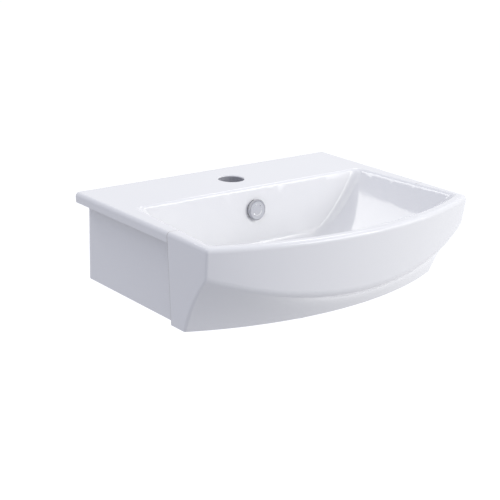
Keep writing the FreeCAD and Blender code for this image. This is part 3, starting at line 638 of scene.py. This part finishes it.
rings, enter, leave = new_group("turned_rings", ("Rings",), "Height")
x, y, z = split(rings, enter["Vector"])
squared = maths(rings, "ADD", maths(rings, "MULTIPLY", x, x), maths(rings, "MULTIPLY", y, y))
distance = maths(rings, "ADD", maths(rings, "SQRT", squared), z)
line = add_node(rings, "ShaderNodeCombineXYZ")
feed(rings, line, X=maths(rings, "MULTIPLY", distance, enter["Rings"]))
feed(rings, leave, Height=noise_of(rings, line.outputs[0], scale=1.0, detail=3.0, roughness=0.75))
print("groups:", handled.name, grain.name, rings.name)

# %% [markdown]
# A pattern needs a place to be read at.  Object coordinates stay with the piece when it moves, and
# every piece's object sits at the origin, so they are also the frame's own metres.  That lets one
# material run over several pieces, and lets a mask be written with the CAD's sizes.

# %% Places and masks


def object_place(tree, centre=None):
    """Object coordinates, moved so that they start at a centre if one is given."""
    place = add_node(tree, "ShaderNodeTexCoord").outputs["Object"]
    if centre is None:
        return place
    shift = add_node(tree, "ShaderNodeMapping", vector_type="TEXTURE", Location=centre)
    feed(tree, shift, Vector=place)
    return shift.outputs["Vector"]


def within(tree, low, value, high):
    """1 where a value lies between two limits."""
    above = maths(tree, "GREATER_THAN", value, low)
    below = maths(tree, "LESS_THAN", value, high)
    return maths(tree, "MULTIPLY", above, below)


def from_axis(tree, first, first_centre, second, second_centre):
    """Distance from a straight axis, by the two coordinates that lie across it."""
    one = maths(tree, "SUBTRACT", first, first_centre)
    two = maths(tree, "SUBTRACT", second, second_centre)
    return maths(tree, "SQRT", maths(tree, "ADD", maths(tree, "MULTIPLY", one, one),
                                     maths(tree, "MULTIPLY", two, two)))


def combine(tree, operation, *masks):
    """Several masks as one: MULTIPLY is 1 where all are 1, and MAXIMUM where any is."""
    result = masks[0]
    for mask in masks[1:]:
        result = maths(tree, operation, result, mask)
    return result


# %% [markdown]
# ## Glaze and bare clay
# Vitreous china is covered with a white glass that settles into a slightly uneven skin: the gloss is
# even, but reflections swim a little.  Where the casting was held or stood in the kiln, it has no
# glaze: the back, the bottom edges, the underside of the lip, the shoulders behind the front and the
# walls of the holes.  These could be painted by hand, but a mask made of a few comparisons of position
# and normal fits the CAD exactly, and needs no image.

# %% Glaze: mask
TAP_Y, TAP_HOLE_R, TAP_LOW, TAP_TOP = -0.051, 0.0181, -0.001, 0.0113
BOLT_HOLE_R, BOLT_HOLE_DEEP = 0.0078, -0.0136
BACK_FACE, BEHIND_BACK = -0.0006, 0.001
FOOT_LOW, FOOT_TOP = -0.1046, -0.0995
LIP_LOW, LIP_TOP, LIP_FRONT = -0.001, 0.0006, -0.2052
SHOULDER_FRONT, SHOULDER_BACK, SHOULDER_X = -0.2056, -0.2044, 0.1938
FACES_DOWN = -0.97

glaze, tree, shader = new_material("white_glaze", (0.83, 0.835, 0.85), IOR=1.52)
place = object_place(tree)
x, y, z = split(tree, place)
beside = maths(tree, "ABSOLUTE", x)
facing = split(tree, add_node(tree, "ShaderNodeNewGeometry").outputs["Normal"])
looks_down = maths(tree, "LESS_THAN", facing[2], FACES_DOWN)

in_tap_hole = maths(tree, "LESS_THAN", from_axis(tree, x, 0.0, y, TAP_Y), TAP_HOLE_R)
in_bolt_hole = maths(tree, "LESS_THAN", from_axis(tree, beside, BOLT_X, z, BOLT_Z), BOLT_HOLE_R)
in_hole = combine(
    tree, "MAXIMUM",
    maths(tree, "MULTIPLY", within(tree, TAP_LOW, z, TAP_TOP), in_tap_hole),
    maths(tree, "MULTIPLY", within(tree, BOLT_HOLE_DEEP, y, BEHIND_BACK), in_bolt_hole))
back = maths(tree, "GREATER_THAN", y, BACK_FACE)
foot = maths(tree, "MULTIPLY", within(tree, FOOT_LOW, z, FOOT_TOP), looks_down)
lip = combine(tree, "MULTIPLY", within(tree, LIP_LOW, z, LIP_TOP), looks_down,
              within(tree, LIP_FRONT, y, BEHIND_BACK))
shoulder = maths(tree, "MULTIPLY", within(tree, SHOULDER_FRONT, y, SHOULDER_BACK),
                 maths(tree, "GREATER_THAN", beside, SHOULDER_X))
bare = combine(tree, "MAXIMUM", in_hole, back, foot, lip, shoulder)
print("mask nodes:", len(tree.nodes))

# %% [markdown]
# Glaze is a little whiter where it has pooled.  The clay under it is a speckled grey, dull and rough.
# In the holes it is a darker grey, which is painted shade standing in for the shadow inside them.  The
# clay's mask also drives the roughness, and lets the speckle stand out in the bump.

# %% Glaze: surface
GLAZE_THIN, GLAZE_POOLED = (0.826, 0.826, 0.828), (0.850, 0.850, 0.851)
# The last colour is painted shade for the inside of the holes.
CLAY_DARK, CLAY_LIGHT, HOLE_PAINTED_SHADE = (0.50, 0.485, 0.46), (0.68, 0.665, 0.635), (0.345, 0.345, 0.375)
CLAY_ROUGHNESS, SPECKLE_HEIGHT = 0.85, 0.5
GLAZE_BUMP, GLAZE_SWIM = 0.020, 0.0012

pooling = noise_of(tree, place, scale=9.0, detail=2.0)
speckle = use_group(tree, grain, place, Scale=900.0)
white = blend_colour(tree, pooling, GLAZE_THIN, GLAZE_POOLED)
# In the holes, the clay colour is darkened with painted shade.
clay = blend_colour(tree, in_hole, blend_colour(tree, speckle, CLAY_DARK, CLAY_LIGHT), HOLE_PAINTED_SHADE)
gloss = use_group(tree, handled, place, Scale=22.0, Low=0.045, High=0.085)
dull = maths(tree, "MULTIPLY", bare, CLAY_ROUGHNESS)
feed(tree, shader, Base_Color=blend_colour(tree, bare, white, clay),
     Roughness=maths(tree, "MAXIMUM", gloss, dull))
swim = noise_of(tree, place, scale=34.0, detail=1.0)
stipple = maths(tree, "MULTIPLY", maths(tree, "MULTIPLY", speckle, bare), SPECKLE_HEIGHT)
add_bump(tree, shader, maths(tree, "ADD", swim, stipple), GLAZE_BUMP, GLAZE_SWIM)
dress(glaze, "basin_body")

# %% [markdown]
# ## Chrome
# The plug and the waste are chrome plated: bright and slightly cold, with faint smears from drying
# water.  A metal's colour is that of its reflections, so the base colour is plain, and all the life is
# in the roughness and in a bump too low to see by itself.

# %% Chrome
CHROME_GRAIN, CHROME_BUMP, CHROME_DEPTH = 160.0, 0.02, 0.0004


def grain_bump(tree, shader, place, scale, strength, distance):
    """A bump whose height is the fine grain."""
    add_bump(tree, shader, use_group(tree, grain, place, Scale=scale), strength, distance)


chrome, tree, shader = new_material("chrome", (0.77, 0.775, 0.79), Metallic=1.0)
place = object_place(tree)
feed(tree, shader, Roughness=use_group(tree, handled, place, Scale=70.0, Low=0.05, High=0.14))
grain_bump(tree, shader, place, CHROME_GRAIN, CHROME_BUMP, CHROME_DEPTH)
dress(chrome, "plug_cap", waste)

# %% [markdown]
# The overflow's cap is polished on its face.  Its sloping edge is rougher, and darker by a painted
# dark reflection, which stands in for the dark room that the chrome would mirror there.  Two materials
# on one mesh would need its faces sorted.  A mask of the distance from the cap's axis, which runs
# along y, does the same with one.

# %% Cap of the overflow
CAP_Z, CAP_FACE_R, CAP_EDGE_R = -0.017, 0.0106, 0.0128
# The sloping edge's darker colour is a painted dark reflection.
CAP_FACE, CAP_SLOPE_PAINTED_REFLECTION, SLOPE_BRUSHED = (0.82, 0.825, 0.84), (0.46, 0.465, 0.50), 0.10

cap_chrome, tree, shader = new_material("cap_chrome", CAP_FACE, Metallic=1.0)
place = object_place(tree)
x, y, z = split(tree, place)
slope = add_node(tree, "ShaderNodeMapRange", interpolation_type="SMOOTHSTEP",
                 From_Min=CAP_FACE_R, From_Max=CAP_EDGE_R)
feed(tree, slope, Value=from_axis(tree, x, 0.0, z, CAP_Z))
slope = slope.outputs["Result"]
smears = use_group(tree, handled, place, Scale=90.0, Low=0.04, High=0.11)
brushed = maths(tree, "MULTIPLY", slope, SLOPE_BRUSHED)
# The slope mask blends in the painted dark reflection and adds roughness there.
feed(tree, shader, Base_Color=blend_colour(tree, slope, CAP_FACE, CAP_SLOPE_PAINTED_REFLECTION),
     Roughness=maths(tree, "ADD", smears, brushed))
grain_bump(tree, shader, place, CHROME_GRAIN, CHROME_BUMP, CHROME_DEPTH)
dress(cap_chrome, "overflow_cover")

# %% [markdown]
# ## Brass
# The nuts and the cartridge are brass, turned on a lathe, so their gloss runs in fine rings about the
# waste's axis.  Anisotropic gloss could give that look, but not the marks themselves.  The rings group
# is centred on the waste instead, and drives both the roughness and the bump.

# %% Brass
BRASS_BRIGHT, BRASS_DARK = (0.78, 0.58, 0.27), (0.60, 0.42, 0.19)
MARKS_GLOSS, TARNISH_GLOSS = 0.16, 0.16

brass, tree, shader = new_material("turned_brass", (0.74, 0.54, 0.24), Metallic=1.0)
place = object_place(tree, (0, WASTE_Y, 0))
tarnish = use_group(tree, handled, place, Scale=120.0, Low=0.0, High=1.0)
marks = use_group(tree, rings, place, Rings=2600.0)
feed(tree, shader, Base_Color=blend_colour(tree, tarnish, BRASS_BRIGHT, BRASS_DARK),
     Roughness=maths(tree, "ADD", maths(tree, "MULTIPLY", marks, MARKS_GLOSS),
                     maths(tree, "MULTIPLY", tarnish, TARNISH_GLOSS)))
add_bump(tree, shader, marks, strength=0.25, distance=0.00015)
dress(brass, "waste_backnut", "lock_nut", "plunger", "cartridge_barrel", "cartridge_collar")

# %% [markdown]
# ## Patchy finishes
# The last three finishes are one recipe with other numbers: a colour that drifts between two tints, a
# gloss that varies in patches of another size, and a fine grain.  Three copies of one cell would drift
# apart as they are changed, so one function makes them all.

# %% Patchy finish
GRAIN_DEPTH = 0.0001


def patchy_finish(name, colour, tints, tint_scale, gloss, gloss_scale, grain_scale, bump, **sockets):
    """A material whose colour lies between two tints, and whose roughness between two values, each in
    patches, over a fine grain."""
    material, tree, shader = new_material(name, colour, **sockets)
    place = object_place(tree)
    tint = use_group(tree, handled, place, Scale=tint_scale, Low=0.0, High=1.0)
    roughness = use_group(tree, handled, place, Scale=gloss_scale, Low=gloss[0], High=gloss[1])
    feed(tree, shader, Base_Color=blend_colour(tree, tint, *tints), Roughness=roughness)
    grain_bump(tree, shader, place, grain_scale, bump, GRAIN_DEPTH)
    return material


# %% [markdown]
# ## Steel
# The wall fixing and the spring are zinc-plated steel, a dull silver with a touch of blue in one place
# and of yellow in another.  One flat grey would look like paint, so the colour drifts between the two.

# %% Zinc-plated steel
zinc = patchy_finish("zinc_steel", (0.60, 0.62, 0.65), Metallic=1.0,
                     tints=((0.60, 0.63, 0.68), (0.68, 0.66, 0.58)), tint_scale=60.0,
                     gloss=(0.22, 0.42), gloss_scale=260.0, grain_scale=1200.0, bump=0.12)
dress(zinc, "wall_nuts", "wall_washers", bolts, spring)

# %% [markdown]
# ## Rubber
# The seals are black rubber, dull with a dusty bloom.  Rubber mirrors less than most materials, which
# could be had with more roughness alone, but then its edges go grey.  So its specular level is lowered
# too, on the shader's own socket.

# %% Rubber
rubber = patchy_finish("black_rubber", (0.03, 0.03, 0.032), Specular_IOR_Level=0.35,
                       tints=((0.022, 0.022, 0.024), (0.055, 0.055, 0.056)), tint_scale=90.0,
                       gloss=(0.55, 0.8), gloss_scale=50.0, grain_scale=1500.0, bump=0.35)
dress(rubber, "overflow_seal", "flange_seal", "lower_seal", "plug_seal")

# %% [markdown]
# ## Plastic
# The sleeves, the slip washer, the overflow's socket and the rotor are moulded in white plastic.  Its
# skin is smooth but not polished, so the grain is very fine and the gloss lies between the rubber's and
# the chrome's.

# %% Plastic
plastic = patchy_finish("white_plastic", (0.80, 0.80, 0.77),
                        tints=((0.80, 0.80, 0.775), (0.76, 0.755, 0.72)), tint_scale=45.0,
                        gloss=(0.28, 0.42), gloss_scale=130.0, grain_scale=2200.0, bump=0.12)
dress(plastic, "overflow_socket", "slip_washer", "wall_sleeves", "rotor")

# %% [markdown]
# ## The studio
# The basin stands before plain white.  More light on the floor would whiten it, but would also wash
# out the glaze.  So the floor is a mid grey that adds a little glow of its own, only for what the
# camera and the reflections see.  It comes out white, and still takes a shadow.  It lies at a basin's
# real distance below the rim, and is clear from below, so that the open underside can be looked at.

# %% Studio helpers


def seen_directly(tree):
    """1 for camera, glossy and transmission rays, 0 for the diffuse rays that light the object."""
    ray = add_node(tree, "ShaderNodeLightPath").outputs
    seen = maths(tree, "ADD", ray["Is Camera Ray"], ray["Is Glossy Ray"])
    return maths(tree, "ADD", seen, ray["Is Transmission Ray"], clamp=True)


def mix_shaders(tree, factor, first, second, target):
    """Sends the first shader on to a target where the factor is 0, and the second where it is 1."""
    mix = add_node(tree, "ShaderNodeMixShader")
    for socket, source in zip(mix.inputs, (factor, first, second)):
        tree.links.new(source, socket)
    tree.links.new(mix.outputs[0], target)


# %% Floor
FLOOR_Z, FLOOR_REACH = -0.85, 14.0
FLOOR_GREY, FLOOR_GLOW = (0.50, 0.50, 0.50), 0.74

floor_mesh = bpy.data.meshes.new("floor")
corners = [(-1, -1), (1, -1), (1, 1), (-1, 1)]
floor_mesh.from_pydata([(i * FLOOR_REACH, j * FLOOR_REACH, FLOOR_Z) for i, j in corners], [],
                       [(0, 1, 2, 3)])
floor = new_object("floor", floor_mesh)
floor_paint, tree, shader = new_material("floor_paint", FLOOR_GREY, Roughness=0.9,
                                         Specular_IOR_Level=0.0, Emission_Color=(1, 1, 1, 1))
feed(tree, shader, Emission_Strength=maths(tree, "MULTIPLY", seen_directly(tree), FLOOR_GLOW))
from_below = add_node(tree, "ShaderNodeNewGeometry").outputs["Backfacing"]
clear = add_node(tree, "ShaderNodeBsdfTransparent")
mix_shaders(tree, from_below, shader.outputs[0], clear.outputs[0],
            tree.nodes["Material Output"].inputs["Surface"])
floor_mesh.materials.append(floor_paint)
floor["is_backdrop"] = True
print("floor, m:", 2 * FLOOR_REACH, "wide at", FLOOR_Z)

# %% [markdown]
# The world does the same.  What is seen of it directly is white, and what it sheds on the basin is a
# weaker, bluish light from all round, like that of the sky.

# %% World
SKY_COLOUR, SKY_STRENGTH = (0.83, 0.855, 1.0, 1), 0.70

world = bpy.data.worlds.new("studio")
bpy.context.scene.world = world
world.use_nodes = True
tree = world.node_tree
sky = tree.nodes["Background"]
sky.inputs["Color"].default_value = SKY_COLOUR
sky.inputs["Strength"].default_value = SKY_STRENGTH
backdrop = add_node(tree, "ShaderNodeBackground", Color=(1, 1, 1, 1), Strength=1.0)
mix_shaders(tree, seen_directly(tree), sky.outputs[0], backdrop.outputs[0],
            tree.nodes["World Output"].inputs["Surface"])
print("sky strength:", SKY_STRENGTH)

# %% [markdown]
# ## The lamps
# The light is soft, and comes from the front, the right and above.  The left cheek and the hollow under
# the front only get the bluish light from all round.  A point lamp would leave hard dots in the glaze,
# so each lamp is a rectangle, whose mirror image is a broad patch.  "front" and "right" light the bowed
# front, and "left" the deck and the bowl.  "back" is smaller, and its mirror image is the pale patch on
# the bowl's right slope.  "edge" draws the line along the edge of the deck.

# %% Lamps
MIDDLE = np.array([0, -0.17, 0])
LAMP_DISTANCE = 2.2
WARM_WHITE = (1.0, 0.99, 0.94)
LAMPS = [  # name, direction from the basin's middle, width, height, watts
    ("front", (0.45, -0.80, 0.45), 1.2, 1.2, 18.0),
    ("right", (0.74, -0.56, 0.32), 1.2, 1.2, 7.5),
    ("left", (-0.48, 0.10, 0.87), 1.2, 1.2, 4.0),
    ("back", (-0.21, 0.62, 0.74), 0.8, 0.6, 5.8),
    ("edge", (0.59, 0.40, 0.70), 0.5, 0.4, 1.8)]


def softbox(name, way, wide, high, power):
    """A rectangular lamp, a fixed distance from the basin's middle and turned towards it.  Its back is
    the direction outwards, its side is level, and its up is back x side."""
    data = bpy.data.lights.new(name, "AREA")
    data.shape, data.size, data.size_y, data.energy = "RECTANGLE", wide, high, power
    data.color = WARM_WHITE
    place = MIDDLE + LAMP_DISTANCE * (np.array(way) / np.linalg.norm(way))
    back = place - MIDDLE
    back /= np.linalg.norm(back)
    side = np.cross((0, 0, 1), back)
    side /= np.linalg.norm(side)
    new_object(name, data).matrix_world = placed(side, np.cross(back, side), back, place)


for lamp in LAMPS:
    softbox(*lamp)
print("lamps:", len(LAMPS), "watts:", round(sum(lamp[-1] for lamp in LAMPS), 1))

# %% [markdown]
# ## The size
# Finishing the pieces must not change the basin's size, so the box of what is shown is worked out.

# %% Finish
low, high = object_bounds()
